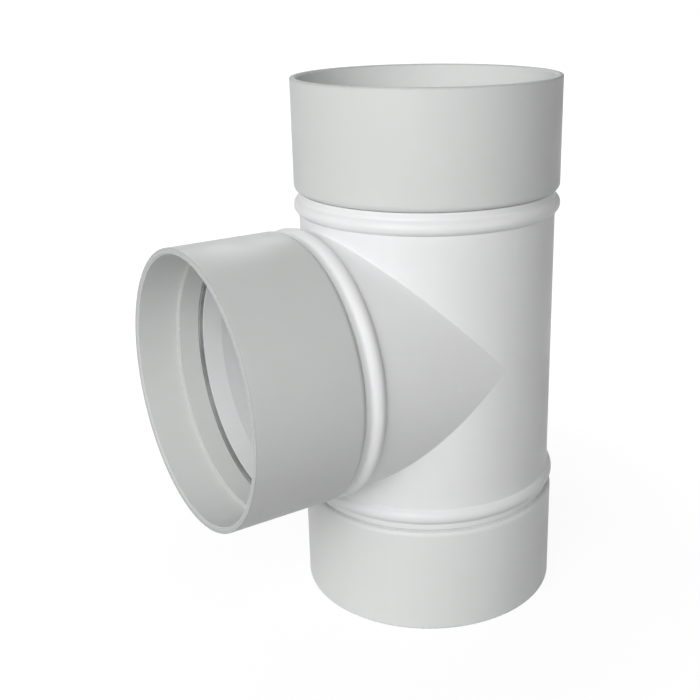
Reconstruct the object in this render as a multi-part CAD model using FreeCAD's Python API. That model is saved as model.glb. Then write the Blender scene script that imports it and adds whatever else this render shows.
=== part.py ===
"""Equal tee for thin-walled 110 mm pipe: a white barrel with a mitred branch, and a grey push-on socket on each arm.

The two white barrels are tube with a rolled bead behind each end. The branch is cut to a point along the two mitre
planes, the run has the matching V notch, and the pair is butt welded flush along that line.
Each arm ends in a spigot whose last few millimetres are drawn in as a seat for a rubber lip seal. A grey collar
slides over the spigot and stops just short of the bead. A stop ring sits in a groove in the collar: a pipe pushed
into the mouth rests on its front face, and its back face comes up against the flange of the seal.

Frame: the origin is the centre of the bottom mouth, +Z runs up the run and the branch points to -X. Sizes are
in millimetres. On an arm, depth is measured from the mouth's rim towards the junction.
"""

import FreeCAD, Part
import math
import os

# the pipe that the fitting takes
pipe_diameter = 110.0
pipe_clearance = 0.3
arm_length = 117.0  # junction centre to each mouth
branch_angle = 90.0  # between the branch and the top arm
arms = ("top", "bottom", "branch")

# collars
collar_length = 47.8
collar_wall = 2.6
mouth_depth = 18.4  # rim to the stop ring
mouth_chamfer = 0.7
rim_round = 0.5
neck_length = 2.6  # the collar's rear end curves in towards the bead
neck_drop = 2.1
slip_clearance = 0.25  # collar bore over the spigot

# stop rings
stop_ring_length = 9.4
stop_ring_step = 2.0  # how far the ring stands in from the mouth's wall
stop_groove_depth = 0.8
stop_ring_round = 0.6

# lip seals
seal_gap = 0.15  # seal flange behind the stop ring
flange_thickness = 1.4
flange_reach = 0.5  # how far the flange stands out past the seat's inner wall
seal_leg_length = 8.6
seal_leg_thickness = 0.8
lip_length = 2.0
lip_gap = 0.1  # lip tip under the collar's bore
lip_root = 0.7
lip_count = 2
lip_pitch = 3.2
lip_start = 1.4

# barrels
barrel_wall = 2.2
barrel_swell = 1.0  # the barrel is this much larger than its spigots, on the radius
bead_rise = 3.2  # from the spigot to the crest
bead_width = 6.6
bead_fillet = 0.5
bead_gap = 3.0  # white spigot that shows between the collar and the bead
seat_drop = 1.6  # the seal's seat is this much smaller than the spigot, on the radius
seat_ramp = 2.4  # outside, from the seat to the spigot
bore_land = 1.5  # inside, the ramp from the seat's bore ends this far short of the bead

# sizes that follow: a spigot has the pipe's own diameter
spigot_radius = pipe_diameter / 2
mouth_radius = spigot_radius + pipe_clearance
slip_radius = spigot_radius + slip_clearance
collar_radius = mouth_radius + collar_wall
groove_radius = mouth_radius + stop_groove_depth
stop_ring_radius = mouth_radius - stop_ring_step
stop_ring_end = mouth_depth + stop_ring_length
flange_front = stop_ring_end + seal_gap
spigot_end = flange_front + flange_thickness
seat_radius = spigot_radius - seat_drop
seat_end = spigot_end + seal_leg_length + slip_clearance
barrel_radius = spigot_radius + barrel_swell
bead_start = collar_length + bead_gap
ramp_end = seat_end + seat_ramp
bore_ramp_end = bead_start - bore_land
cut_reach = 3 * arm_length  # well past every barrel


def point(radius, depth):
    """A point of an arm's half section, on an arm that points up from the junction centre."""
    return FreeCAD.Vector(radius, 0, arm_length - depth)


def line(start, end):
    return Part.LineSegment(start, end).toShape()


def arc(centre, radius, start, end):
    """The shorter arc about centre, a (radius, depth) pair, from the pair start to the pair end."""
    middle = [(start[i] + end[i]) / 2 - centre[i] for i in (0, 1)]
    reach = radius / math.hypot(*middle)
    crown = [centre[i] + middle[i] * reach for i in (0, 1)]
    return Part.Arc(point(*start), point(*crown), point(*end)).toShape()


def revolve(edges):
    """A solid of revolution about the arm's axis from the edges of a closed half section."""
    face = Part.Face(Part.Wire(Part.__sortEdges__(edges)))
    return face.revolve(FreeCAD.Vector(0, 0, 0), FreeCAD.Vector(0, 0, 1), 360)


def polygon(pairs):
    """The edges of a closed outline through (radius, depth) pairs."""
    corners = [point(*pair) for pair in pairs]
    return [line(a, b) for a, b in zip(corners, corners[1:] + corners[:1])]


def bead_section(inset):
    """The barrel's skin from the spigot over the rolled bead, moved inwards by inset.

    It gives the edges, and the depths at which the bead's foot meets the spigot and the plain barrel.
    """
    half = bead_width / 2
    crest = spigot_radius + bead_rise
    roll = (half**2 + bead_rise**2) / (2 * bead_rise)
    centre = (crest - roll, bead_start + half)
    feet = []
    for tube_radius, side in ((spigot_radius, -1), (barrel_radius, 1)):
        fillet_r = tube_radius + bead_fillet
        along = math.sqrt((roll + bead_fillet) ** 2 - (fillet_r - centre[0]) ** 2)
        fillet = (fillet_r, centre[1] + side * along)
        share = (roll - inset) / (roll + bead_fillet)
        joint = tuple(centre[i] + (fillet[i] - centre[i]) * share for i in (0, 1))
        foot = (tube_radius - inset, fillet[1])
        feet.append((foot, fillet, joint))
    (foot_a, fillet_a, joint_a), (foot_b, fillet_b, joint_b) = feet
    top = (centre[0] + roll - inset, centre[1])
    edges = [
        arc(fillet_a, bead_fillet + inset, foot_a, joint_a),
        arc(centre, roll - inset, joint_a, top),
        arc(centre, roll - inset, top, joint_b),
        arc(fillet_b, bead_fillet + inset, joint_b, foot_b),
    ]
    return edges, foot_a[1], foot_b[1]


def barrel_arm():
    """One arm of white tube, from the junction centre to the end of its spigot."""
    edges = []
    for inset, slope_end in ((0, ramp_end), (barrel_wall, bore_ramp_end)):
        bead, bead_foot, barrel_foot = bead_section(inset)
        seat = seat_radius - inset
        spigot = spigot_radius - inset
        barrel = barrel_radius - inset
        chain = [
            point(seat, spigot_end),
            point(seat, seat_end),
            point(spigot, slope_end),
            point(spigot, bead_foot),
        ]
        edges += [line(a, b) for a, b in zip(chain, chain[1:])]
        edges += bead
        edges.append(line(point(barrel, barrel_foot), point(barrel, arm_length)))
    for depth, radius in ((spigot_end, seat_radius), (arm_length, barrel_radius)):
        edges.append(line(point(radius, depth), point(radius - barrel_wall, depth)))
    return revolve(edges)


def mitre_wedge():
    """The branch's side of the mitre planes, which halve the angles between the branch and the run's two arms."""
    apex = FreeCAD.Vector(0, -cut_reach, arm_length)
    corners = [apex]
    for turn in (branch_angle / 2, (branch_angle + 180) / 2):
        angle = math.radians(turn)
        corners.append(apex + FreeCAD.Vector(-math.sin(angle), 0, math.cos(angle)) * cut_reach)
    outline = Part.Face(Part.makePolygon(corners + [apex]))
    return outline.extrude(FreeCAD.Vector(0, 2 * cut_reach, 0))


def collar():
    """A socket collar: lead-in and mouth at the rim, a groove for the stop ring, and a necked rear end."""
    neck_radius = (neck_drop**2 + neck_length**2) / (2 * neck_drop)
    neck_start = collar_length - neck_length
    inner = [
        (collar_radius - neck_drop, collar_length),
        (slip_radius, collar_length),
        (slip_radius, stop_ring_end),
        (groove_radius, stop_ring_end),
        (groove_radius, mouth_depth),
        (mouth_radius, mouth_depth),
        (mouth_radius, mouth_chamfer),
        (mouth_radius + mouth_chamfer, 0),
        (collar_radius - rim_round, 0),
    ]
    corners = [point(*pair) for pair in inner]
    edges = [line(a, b) for a, b in zip(corners, corners[1:])]
    edges.append(
        arc(
            (collar_radius - rim_round, rim_round),
            rim_round,
            (collar_radius - rim_round, 0),
            (collar_radius, rim_round),
        )
    )
    edges.append(line(point(collar_radius, rim_round), point(collar_radius, neck_start)))
    edges.append(
        arc(
            (collar_radius - neck_radius, neck_start),
            neck_radius,
            (collar_radius, neck_start),
            (collar_radius - neck_drop, collar_length),
        )
    )
    return revolve(edges)


def stop_ring():
    """The ring in the collar's groove, with its inner front edge rounded to let a pipe's bore run on smoothly."""
    rounded = (stop_ring_radius + stop_ring_round, mouth_depth)
    outline = [
        (stop_ring_radius, mouth_depth + stop_ring_round),
        (stop_ring_radius, stop_ring_end),
        (groove_radius, stop_ring_end),
        (groove_radius, mouth_depth),
        rounded,
    ]
    corners = [point(*pair) for pair in outline]
    edges = [line(a, b) for a, b in zip(corners, corners[1:])]
    centre = (stop_ring_radius + stop_ring_round, mouth_depth + stop_ring_round)
    edges.append(arc(centre, stop_ring_round, rounded, outline[0]))
    return revolve(edges)


def lip_seal():
    """The rubber seal: a flange over the spigot's end, a leg on the seat, and lips that lean away from the mouth."""
    leg_radius = seat_radius + seal_leg_thickness
    tip_radius = slip_radius - lip_gap
    flange_inner = seat_radius - barrel_wall + flange_reach
    leg_end = spigot_end + seal_leg_length
    outline = [
        (flange_inner, spigot_end),
        (flange_inner, flange_front),
        (tip_radius, flange_front),
        (tip_radius, spigot_end),
        (leg_radius, spigot_end),
    ]
    for index in range(lip_count):
        root = spigot_end + lip_start + index * lip_pitch
        outline += [
            (leg_radius, root),
            (tip_radius, root + lip_length - lip_root / 2),
            (tip_radius, root + lip_length),
            (leg_radius, root + lip_root),
        ]
    outline += [
        (leg_radius, leg_end),
        (seat_radius, leg_end),
        (seat_radius, spigot_end),
    ]
    return revolve(polygon(outline))


def placed(shape, arm):
    """An arm's shape, drawn pointing up from the junction centre, moved to its own arm. The run is straight."""
    turns = {"top": 0, "bottom": 180, "branch": -branch_angle}
    moved = shape.copy()
    moved.rotate(FreeCAD.Vector(0, 0, 0), FreeCAD.Vector(0, 1, 0), turns[arm])
    moved.translate(FreeCAD.Vector(0, 0, arm_length))
    return moved


def barrels():
    """The run with its V notch, and the branch cut to the matching point."""
    tubes = {arm: placed(barrel_arm(), arm) for arm in arms}
    run = tubes["top"].fuse(tubes["bottom"]).removeSplitter()
    wedge = mitre_wedge()
    return {"run_barrel": run.cut(wedge), "branch_barrel": tubes["branch"].common(wedge)}


def fitting():
    """Every piece of the tee by name."""
    pieces = barrels()
    for arm in arms:
        pieces[f"{arm}_collar"] = placed(collar(), arm)
        pieces[f"{arm}_stop_ring"] = placed(stop_ring(), arm)
        pieces[f"{arm}_lip_seal"] = placed(lip_seal(), arm)
    return pieces


os.makedirs("parts", exist_ok=True)
for name, shape in fitting().items():
    shape.exportStep(f"parts/{name}.step")
    box = shape.optimalBoundingBox()
    print(
        f"{name}: {len(shape.Solids)} solid, {shape.Volume / 1000:.2f} cm3, valid {shape.isValid()},",
        f"x {box.XMin:.1f} to {box.XMax:.1f}, z {box.ZMin:.1f} to {box.ZMax:.1f}",
    )
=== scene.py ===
"""Looks for the white and grey pipe tee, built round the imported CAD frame.

Lengths are in metres in the CAD's own frame: the origin is the centre of the bottom mouth, +Z runs up the run
and the branch points to -X. On an arm, depth is measured from the mouth's rim towards the junction.
"""

import math

import bmesh
import bpy
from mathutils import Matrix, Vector


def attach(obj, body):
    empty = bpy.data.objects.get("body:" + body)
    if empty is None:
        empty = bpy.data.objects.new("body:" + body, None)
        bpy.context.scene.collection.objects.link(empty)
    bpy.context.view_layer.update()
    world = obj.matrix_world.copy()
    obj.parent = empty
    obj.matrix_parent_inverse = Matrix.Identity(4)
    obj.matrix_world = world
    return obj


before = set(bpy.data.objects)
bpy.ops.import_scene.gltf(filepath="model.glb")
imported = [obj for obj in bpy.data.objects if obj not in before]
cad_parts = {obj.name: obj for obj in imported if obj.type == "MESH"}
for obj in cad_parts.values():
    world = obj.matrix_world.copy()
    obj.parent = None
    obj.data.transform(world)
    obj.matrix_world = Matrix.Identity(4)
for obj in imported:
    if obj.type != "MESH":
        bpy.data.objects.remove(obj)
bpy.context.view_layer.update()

# the CAD's own sizes
ARM = 0.117  # junction centre to each mouth
MOUTH_DEPTH = 0.0184  # rim to the stop ring's front face
COLLAR_LENGTH = 0.0478
COLLAR_SKIN = 0.0566  # between the mouth's wall and the collar's outside
BARREL_RADIUS = 0.056
BARREL_WALL = 0.0022
BEAD_CREST = 0.0582
BEAD_ROLL = 0.0033  # radius of the bead's round section
BEAD_DEPTH = 0.0541  # depth of its crest

ARMS = ("top", "bottom", "branch")
# per arm: the axis that it runs along (0 for X, 2 for Z), where its rim is on it, and which way depth grows
ARM_AXIS = {"top": 2, "bottom": 2, "branch": 0}
RIM_AT = {"top": 2 * ARM, "bottom": 0.0, "branch": -ARM}
INWARD = {"top": -1, "bottom": 1, "branch": 1}

WHITE = (0.842, 0.845, 0.851)
GREY = (0.695, 0.708, 0.698)
RING_GREY = (0.70, 0.711, 0.70)
RUBBER = (0.27, 0.27, 0.272)
# both fitted to the photo's brightness: each collar's tone is painted light and shade (the bottom collar
# painted lighter, the branch's darker), and its inner wall is painted lighter than its skin as painted light in
# the mouth
COLLAR_PAINTED_LIGHT = {"top": 0.975, "bottom": 1.12, "branch": 0.925}
INNER_WALL_PAINTED_LIGHT = 1.14

# painted shade on end faces and wear of the plastic: distances from an edge; and blends over a radius for the
# painted light in a mouth and the painted highlight on a crest
END_SHADE_CORE = 0.0002
END_SHADE_REACH = 0.0009
WORN_REACH = 0.0014
SKIN_BLEND = 0.0004
CREST_BLEND = 0.0006
LINE_STRETCH = 0.02  # how much slower noise changes along a die line than across it

# heights of the plastic's and the rubber's fine surface
BROAD_LINE_HEIGHT = 0.00003
PEEL_HEIGHT = 0.00002
LINE_HEIGHT = 0.000006
PLASTIC_GRAIN = 0.000003
RUBBER_PEEL = 0.00002
RUBBER_GRAIN = 0.000008

# stage
AMBIENT = 0.08
BACKDROP = 1.0
FLOOR_GREY = 0.6
FLOOR_GLOW = 1.1
FLOOR_DROP = 0.0002  # below the rim that the tee stands on
FLOOR_HALF = 6.0
FLOOR_NEAR, FLOOR_NEAR_GLOW = 0.07, 0.84  # the share of glow near the tee, which leaves a faint shadow there
FLOOR_FAR, FLOOR_FAR_GLOW = 0.4, 1.0
LAMP_DISTANCE = 1.3
LAMP_SIZE = 0.7

# camera, from a fit to edges in the photo with the shifts held to 45 of 700 pixels
CAMERA_PLACE = (-0.25971, -0.36036, 0.27196)
CAMERA_TURN = (72.43, 0.778, -34.15)
CAMERA_LENS = 52.664
CAMERA_SHIFT = (-0.0643, -0.0644)


class Shader:
    """A node tree with short calls for the nodes that the plastics and the rubber share."""

    def __init__(self, name):
        self.material = bpy.data.materials.new(name)
        self.material.use_nodes = True
        self.tree = self.material.node_tree
        self.principled = self.tree.nodes["Principled BSDF"]
        coordinates = self.tree.nodes.new("ShaderNodeTexCoord")
        self.place = coordinates.outputs["Object"]
        split = self.tree.nodes.new("ShaderNodeSeparateXYZ")
        self.link(self.place, split.inputs[0])
        self.xyz = split.outputs

    def link(self, source, socket):
        self.tree.links.new(source, socket)

    def value(self, source, socket):
        """Sets a socket to a number, or links an output to it."""
        if isinstance(source, (int, float)):
            socket.default_value = source
        else:
            self.link(source, socket)

    def math(self, operation, a, b=0.0):
        node = self.tree.nodes.new("ShaderNodeMath")
        node.operation = operation
        for source, socket in zip((a, b), node.inputs):
            self.value(source, socket)
        return node.outputs[0]

    def noise(self, scale, detail=3.0, roughness=0.55, stretch=None, seed=0.0):
        """Noise of a scale in cells per metre. stretch is an axis that it's drawn out along, for die lines."""
        mapping = self.tree.nodes.new("ShaderNodeMapping")
        self.link(self.place, mapping.inputs["Vector"])
        mapping.inputs["Location"].default_value = (seed, seed * 0.37, seed * 0.73)
        factors = [1.0, 1.0, 1.0]
        if stretch is not None:
            factors[stretch] = LINE_STRETCH
        mapping.inputs["Scale"].default_value = factors
        node = self.tree.nodes.new("ShaderNodeTexNoise")
        self.link(mapping.outputs[0], node.inputs["Vector"])
        node.inputs["Scale"].default_value = scale
        node.inputs["Detail"].default_value = detail
        node.inputs["Roughness"].default_value = roughness
        return node.outputs["Fac"]

    def remap(self, source, low, high, to_low=0.0, to_high=1.0):
        node = self.tree.nodes.new("ShaderNodeMapRange")
        node.interpolation_type = "SMOOTHSTEP"
        self.value(source, node.inputs["Value"])
        names = ("From Min", "From Max", "To Min", "To Max")
        for name, number in zip(names, (low, high, to_low, to_high)):
            node.inputs[name].default_value = number
        return node.outputs["Result"]

    def mix(self, factor, a, b):
        """A colour between a and b."""
        node = self.tree.nodes.new("ShaderNodeMix")
        node.data_type = "RGBA"
        self.value(factor, node.inputs["Factor"])
        for source, socket in ((a, node.inputs[6]), (b, node.inputs[7])):
            if isinstance(source, tuple):
                socket.default_value = (*source, 1.0)
            else:
                self.link(source, socket)
        return node.outputs[2]

    def lighten(self, colour, factor):
        """A colour times a factor."""
        node = self.tree.nodes.new("ShaderNodeVectorMath")
        node.operation = "SCALE"
        self.link(colour, node.inputs[0])
        self.value(factor, node.inputs["Scale"])
        return node.outputs[0]

    def bump(self, layers):
        """Height layers of (output, depth in metres) chained into the shader's normal."""
        normal = None
        for height, depth in layers:
            node = self.tree.nodes.new("ShaderNodeBump")
            node.inputs["Distance"].default_value = depth
            self.link(height, node.inputs["Height"])
            if normal is not None:
                self.link(normal, node.inputs["Normal"])
            normal = node.outputs["Normal"]
        self.link(normal, self.principled.inputs["Normal"])

    def finish(self, colour, roughness, ior=1.53):
        self.link(colour, self.principled.inputs["Base Color"])
        self.link(roughness, self.principled.inputs["Roughness"])
        self.principled.inputs["IOR"].default_value = ior
        self.principled.inputs["Specular IOR Level"].default_value = 0.3
        return self.material


def shade(colour, factor):
    return tuple(channel * factor for channel in colour)


def tube_plastic(name, colour, axis, roughness, edges, seed, crest=None, skin=None):
    """Extruded PVC: faint die lines along the tube, a soft orange peel, cloudy colour and scuffed edges.

    axis is the tube's own. edges are places along it where the end face is painted darker as painted shade and
    the edge is worn. crest is the radius of a bead whose crest is rubbed glossier and painted lighter as a
    painted highlight. skin is the radius inside which a collar's wall is painted lighter, as painted light in
    the mouth.
    """
    s = Shader(name)
    cloud = s.noise(18.0, detail=4.0, seed=seed)
    lines = s.noise(900.0, detail=2.0, stretch=axis, seed=seed + 3.0)
    broad_lines = s.noise(160.0, detail=2.0, stretch=axis, seed=seed + 5.0)
    peel = s.noise(420.0, detail=3.0, seed=seed + 7.0)
    grain = s.noise(2600.0, detail=2.0, seed=seed + 9.0)
    smudge = s.noise(34.0, detail=5.0, roughness=0.62, seed=seed + 11.0)

    base = s.mix(s.remap(cloud, 0.3, 0.7), shade(colour, 0.975), shade(colour, 1.015))
    base = s.mix(s.remap(broad_lines, 0.35, 0.65, 0.0, 0.35), base, shade(colour, 0.985))
    rough = s.remap(smudge, 0.32, 0.68, roughness - 0.05, roughness + 0.07)

    nick = s.remap(s.noise(700.0, detail=4.0, roughness=0.7, seed=seed + 13.0), 0.46, 0.6)
    for place in edges:
        distance = s.math("ABSOLUTE", s.math("SUBTRACT", s.xyz[axis], place))
        # painted shade: the whole end face at the place, and a thin band beside it, is darkened; worn is real
        # wear
        painted_end_shade = s.remap(distance, END_SHADE_CORE, END_SHADE_REACH, 1.0, 0.0)
        worn = s.math("MULTIPLY", s.remap(distance, 0.0, WORN_REACH, 1.0, 0.0), nick)
        base = s.mix(s.math("MULTIPLY", painted_end_shade, 0.8), base, shade(colour, 0.78))
        base = s.mix(s.math("MULTIPLY", worn, 0.3), base, shade(colour, 0.7))
        rough = s.math("ADD", rough, s.math("MULTIPLY", s.math("ADD", worn, painted_end_shade), 0.12))

    across = s.xyz[0] if axis == 2 else s.math("SUBTRACT", s.xyz[2], ARM)
    radius = s.math("SQRT", s.math("ADD", s.math("POWER", across, 2.0), s.math("POWER", s.xyz[1], 2.0)))
    # painted light: the collar's inner wall, inside the skin radius, is painted lighter
    if skin is not None:
        base = s.lighten(base, s.remap(radius, skin - SKIN_BLEND, skin, INNER_WALL_PAINTED_LIGHT, 1.0))
    # the bead's crest: rubbed glossier, and painted lighter as a painted highlight
    if crest is not None:
        on_crest = s.remap(radius, crest - CREST_BLEND, crest)
        rub_and_highlight = s.math("MULTIPLY", on_crest, s.remap(smudge, 0.4, 0.6, 0.3, 1.0))
        rough = s.math("SUBTRACT", rough, s.math("MULTIPLY", rub_and_highlight, 0.08))
        base = s.mix(s.math("MULTIPLY", rub_and_highlight, 0.35), base, shade(colour, 1.03))
    heights = (BROAD_LINE_HEIGHT, PEEL_HEIGHT, LINE_HEIGHT, PLASTIC_GRAIN)
    s.bump(zip((broad_lines, peel, lines, grain), heights))
    return s.finish(base, rough)


def rubber(name, colour, seed):
    """Moulded rubber: near matt, with a fine grain and a little bloom."""
    s = Shader(name)
    bloom = s.noise(60.0, detail=5.0, roughness=0.65, seed=seed)
    grain = s.noise(3000.0, detail=2.0, seed=seed + 3.0)
    peel = s.noise(700.0, detail=3.0, seed=seed + 5.0)
    base = s.mix(s.remap(bloom, 0.35, 0.7), shade(colour, 0.85), shade(colour, 1.35))
    s.bump(((peel, RUBBER_PEEL), (grain, RUBBER_GRAIN)))
    return s.finish(base, s.remap(bloom, 0.3, 0.7, 0.62, 0.74), ior=1.5)


def smooth(data, sharp_angle):
    """Smooth shading, with edges sharper than sharp_angle in degrees left crisp."""
    data.polygons.foreach_set("use_smooth", [True] * len(data.polygons))
    data.set_sharp_from_angle(angle=math.radians(sharp_angle))


def dress(node, material):
    """Gives a CAD node its material and smooth shading across its curved faces only."""
    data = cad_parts[node].data
    data.materials.clear()
    data.materials.append(material)
    smooth(data, 28)


def place_on(arm, depth):
    """Where a depth of an arm lies on the arm's axis."""
    return RIM_AT[arm] + INWARD[arm] * depth


def dress_arm(number, arm):
    """The looks of an arm's collar, stop ring and lip seal. number keeps each arm's noise its own."""
    along = ARM_AXIS[arm]
    step = 9 * number
    edges = (RIM_AT[arm], place_on(arm, COLLAR_LENGTH))
    # painted light and shade: each collar's grey is scaled by its arm's own factor
    grey = shade(GREY, COLLAR_PAINTED_LIGHT[arm])
    look = tube_plastic(f"grey_{arm}_collar", grey, along, 0.45, edges, 40.0 + step, skin=COLLAR_SKIN)
    dress(f"{arm}_collar", look)
    front = (place_on(arm, MOUTH_DEPTH),)
    dress(f"{arm}_stop_ring", tube_plastic(f"grey_{arm}_ring", RING_GREY, along, 0.5, front, 80.0 + step))
    dress(f"{arm}_lip_seal", rubber(f"rubber_{arm}", RUBBER, 120.0 + step))


def white_piece(name, mesh, material):
    """Turns a bmesh into a smooth piece of the white body."""
    bmesh.ops.recalc_face_normals(mesh, faces=mesh.faces)
    data = bpy.data.meshes.new(name)
    mesh.to_mesh(data)
    mesh.free()
    piece = bpy.data.objects.new(name, data)
    bpy.context.collection.objects.link(piece)
    smooth(data, 40)
    data.materials.append(material)
    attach(piece, "tee")


def skin_rings(mesh, rings):
    """Faces between each of the pairs of rings, which are closed loops with as many points each."""
    for first, second in rings:
        for step in range(len(first)):
            after = (step + 1) % len(first)
            mesh.faces.new((first[step], first[after], second[after], second[step]))


def mitre_weld(name, radius, proud, half_width, sink, material):
    """The butt weld along the mitre on a skin of that radius: a low rounded ridge that stands out by proud.

    It dies away over the angle fade towards the two points where the mitre's planes meet. There it has moved by
    sink along the skin's normal, so that it ends inside the wall.
    """
    steps, sides, fade = 160, 10, 0.9
    mesh = bmesh.new()
    for side in (1, -1):
        rings = []
        for step in range(steps + 1):
            angle = math.pi * step / steps
            faded = max(0.0, 1.0 - min(angle, math.pi - angle) / fade) ** 2
            y, reach = -radius * math.cos(angle), radius * math.sin(angle)
            point = Vector((-reach, y, side * reach))
            along = Vector((-math.cos(angle), math.sin(angle), side * math.cos(angle))).normalized()
            out = Vector((-reach, 2 * y, side * reach)).normalized()
            across = along.cross(out)
            ring = []
            for turn in range(sides):
                around = 2 * math.pi * turn / sides
                lift = proud * math.sin(around) + sink * faded
                offset = across * (half_width * math.cos(around)) + out * lift
                ring.append(mesh.verts.new(point + offset + Vector((0, 0, ARM))))
            rings.append(ring)
        skin_rings(mesh, zip(rings, rings[1:]))
        mesh.faces.new(rings[0])
        mesh.faces.new(reversed(rings[-1]))
    white_piece(name, mesh, material)


def band_outline():
    """The band's closed half section as (depth, radius) pairs."""
    start = COLLAR_LENGTH + 0.00015  # just clear of the collar
    corner, corner_steps = 0.0003, 6
    fillet, fillet_steps = 0.0015, 12
    overlap = 0.0004  # how far the band runs on into the bead
    hidden = 0.0547  # a radius inside the barrel's wall
    lift = BARREL_RADIUS + fillet - (BEAD_CREST - BEAD_ROLL)
    fillet_depth = BEAD_DEPTH - math.sqrt((BEAD_ROLL + fillet) ** 2 - lift**2)
    outline = [(start, hidden)]
    for step in range(corner_steps + 1):
        turn = math.pi / 2 * step / corner_steps
        outline.append((start + corner * (1 - math.cos(turn)), BARREL_RADIUS - corner * (1 - math.sin(turn))))
    meeting = math.atan2(BEAD_DEPTH - fillet_depth, lift)
    for step in range(fillet_steps + 1):
        turn = meeting * step / fillet_steps
        rise = fillet * (1 - math.cos(turn))
        outline.append((fillet_depth + fillet * math.sin(turn), BARREL_RADIUS + rise))
    end = outline[-1][0] + overlap
    return outline + [(end, BARREL_RADIUS), (end, hidden)]


def bead_band(arm, material):
    """The flat white band between an arm's collar and its bead, with a fillet up into the bead's roll."""
    around = 256
    mesh = bmesh.new()
    rings = []
    for depth, radius in band_outline():
        at = place_on(arm, depth)
        ring = []
        for step in range(around):
            turn = 2 * math.pi * step / around
            u, v = radius * math.cos(turn), radius * math.sin(turn)
            ring.append(mesh.verts.new((u, v, at) if ARM_AXIS[arm] == 2 else (at, u, ARM + v)))
        rings.append(ring)
    skin_rings(mesh, zip(rings, rings[1:] + rings[:1]))
    white_piece(f"{arm}_bead_band", mesh, material)


def seen_as(tree, plain, shown):
    """plain for light that falls on the object, shown for camera, glossy and transmitted rays."""
    path = tree.nodes.new("ShaderNodeLightPath")
    total = path.outputs["Is Camera Ray"]
    for name in ("Is Glossy Ray", "Is Transmission Ray"):
        add = tree.nodes.new("ShaderNodeMath")
        add.operation = "MAXIMUM"
        tree.links.new(total, add.inputs[0])
        tree.links.new(path.outputs[name], add.inputs[1])
        total = add.outputs[0]
    mix = tree.nodes.new("ShaderNodeMixShader")
    tree.links.new(total, mix.inputs[0])
    tree.links.new(plain, mix.inputs[1])
    tree.links.new(shown, mix.inputs[2])
    return mix.outputs[0]


def make_world():
    world = bpy.data.worlds.new("studio")
    bpy.context.scene.world = world
    world.use_nodes = True
    tree = world.node_tree
    tree.nodes.clear()
    whites = []
    for strength in (AMBIENT, BACKDROP):
        white = tree.nodes.new("ShaderNodeBackground")
        white.inputs["Color"].default_value = (1.0, 1.0, 1.0, 1.0)
        white.inputs["Strength"].default_value = strength
        whites.append(white.outputs[0])
    output = tree.nodes.new("ShaderNodeOutputWorld")
    tree.links.new(seen_as(tree, *whites), output.inputs[0])


def make_floor():
    material = bpy.data.materials.new("floor_white")
    material.use_nodes = True
    tree = material.node_tree
    tree.nodes.clear()
    matt = tree.nodes.new("ShaderNodeBsdfDiffuse")
    matt.inputs["Color"].default_value = (FLOOR_GREY, FLOOR_GREY, FLOOR_GREY, 1.0)
    glow = tree.nodes.new("ShaderNodeEmission")
    glow.inputs["Strength"].default_value = FLOOR_GLOW
    place = tree.nodes.new("ShaderNodeTexCoord")
    reach = tree.nodes.new("ShaderNodeVectorMath")
    reach.operation = "LENGTH"
    tree.links.new(place.outputs["Object"], reach.inputs[0])
    bright = tree.nodes.new("ShaderNodeMapRange")
    bright.interpolation_type = "SMOOTHSTEP"
    tree.links.new(reach.outputs["Value"], bright.inputs["Value"])
    names = ("From Min", "From Max", "To Min", "To Max")
    for name, number in zip(names, (FLOOR_NEAR, FLOOR_FAR, FLOOR_NEAR_GLOW, FLOOR_FAR_GLOW)):
        bright.inputs[name].default_value = number
    shown = tree.nodes.new("ShaderNodeMixShader")
    tree.links.new(bright.outputs["Result"], shown.inputs[0])
    tree.links.new(matt.outputs[0], shown.inputs[1])
    tree.links.new(glow.outputs[0], shown.inputs[2])
    output = tree.nodes.new("ShaderNodeOutputMaterial")
    tree.links.new(seen_as(tree, matt.outputs[0], shown.outputs[0]), output.inputs[0])
    data = bpy.data.meshes.new("floor")
    signs = ((-1, -1), (1, -1), (1, 1), (-1, 1))
    corners = [(x * FLOOR_HALF, y * FLOOR_HALF, -FLOOR_DROP) for x, y in signs]
    data.from_pydata(corners, [], [(0, 1, 2, 3)])
    data.materials.append(material)
    floor = bpy.data.objects.new("floor", data)
    bpy.context.collection.objects.link(floor)


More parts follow.
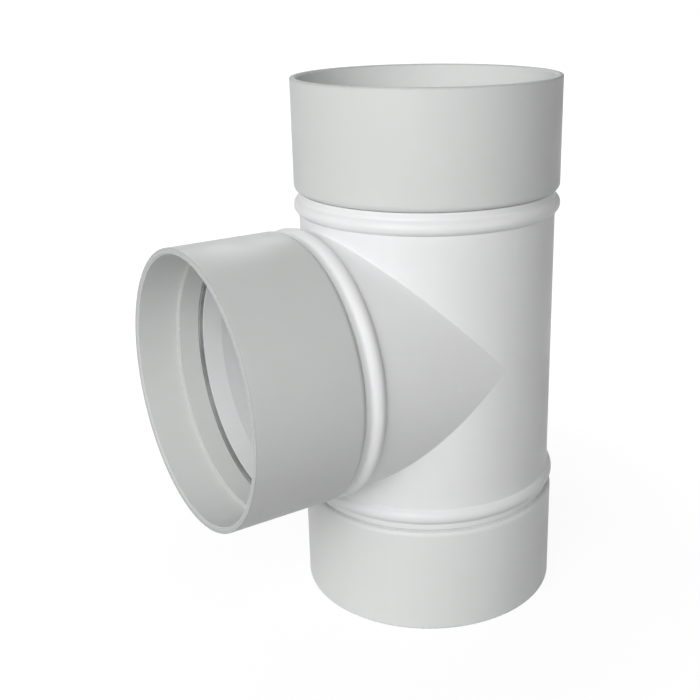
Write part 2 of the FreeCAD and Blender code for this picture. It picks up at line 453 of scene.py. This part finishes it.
def soft_light(name, azimuth, elevation, watts):
    """A square lamp that looks at the junction. azimuth is measured from +X towards +Y, in degrees."""
    data = bpy.data.lights.new(name, "AREA")
    data.shape = "SQUARE"
    data.size = LAMP_SIZE
    data.energy = watts
    lamp = bpy.data.objects.new(name, data)
    a, e = math.radians(azimuth), math.radians(elevation)
    back = Vector((math.cos(a) * math.cos(e), math.sin(a) * math.cos(e), math.sin(e)))
    lamp.location = Vector((0, 0, ARM)) + back * LAMP_DISTANCE
    lamp.rotation_mode = "QUATERNION"
    lamp.rotation_quaternion = back.to_track_quat("Z", "Y")
    bpy.context.collection.objects.link(lamp)


def make_camera():
    data = bpy.data.cameras.new("camera")
    data.sensor_width = 36.0
    data.lens = CAMERA_LENS
    data.shift_x, data.shift_y = CAMERA_SHIFT
    data.clip_start = 0.01
    camera = bpy.data.objects.new("camera", data)
    camera.location = CAMERA_PLACE
    camera.rotation_euler = [math.radians(angle) for angle in CAMERA_TURN]
    bpy.context.collection.objects.link(camera)
    bpy.context.scene.camera = camera


# the CAD's nodes
run_axis, branch_axis = ARM_AXIS["top"], ARM_AXIS["branch"]
run_white = tube_plastic("white_run", WHITE, run_axis, 0.42, (), 1.0, BEAD_CREST)
branch_white = tube_plastic("white_branch", WHITE, branch_axis, 0.42, (), 21.0, BEAD_CREST)
dress("run_barrel", run_white)
dress("branch_barrel", branch_white)
for number, arm in enumerate(ARMS):
    dress_arm(number, arm)

# what the solids leave to the looks
weld_white = tube_plastic("white_weld", shade(WHITE, 0.99), branch_axis, 0.4, (), 160.0)
mitre_weld("mitre_weld_outer", BARREL_RADIUS, 0.00016, 0.0006, -0.0004, weld_white)
mitre_weld("mitre_weld_inner", BARREL_RADIUS - BARREL_WALL, 0.0004, 0.0009, 0.0008, weld_white)
for arm in ARMS:
    bead_band(arm, branch_white if arm == "branch" else run_white)

# the stage
make_world()
make_floor()
for name, azimuth, elevation, watts in (
    ("key", -155, 25, 8.0),
    ("front", -130, 25, 4.7),
    ("side", -80, 30, 1.2),
    ("back", 60, 35, 3.6),
    ("rim", 140, 25, 1.5),
):
    soft_light(name, azimuth, elevation, watts)
make_camera()
bpy.context.scene.view_settings.view_transform = "Standard"
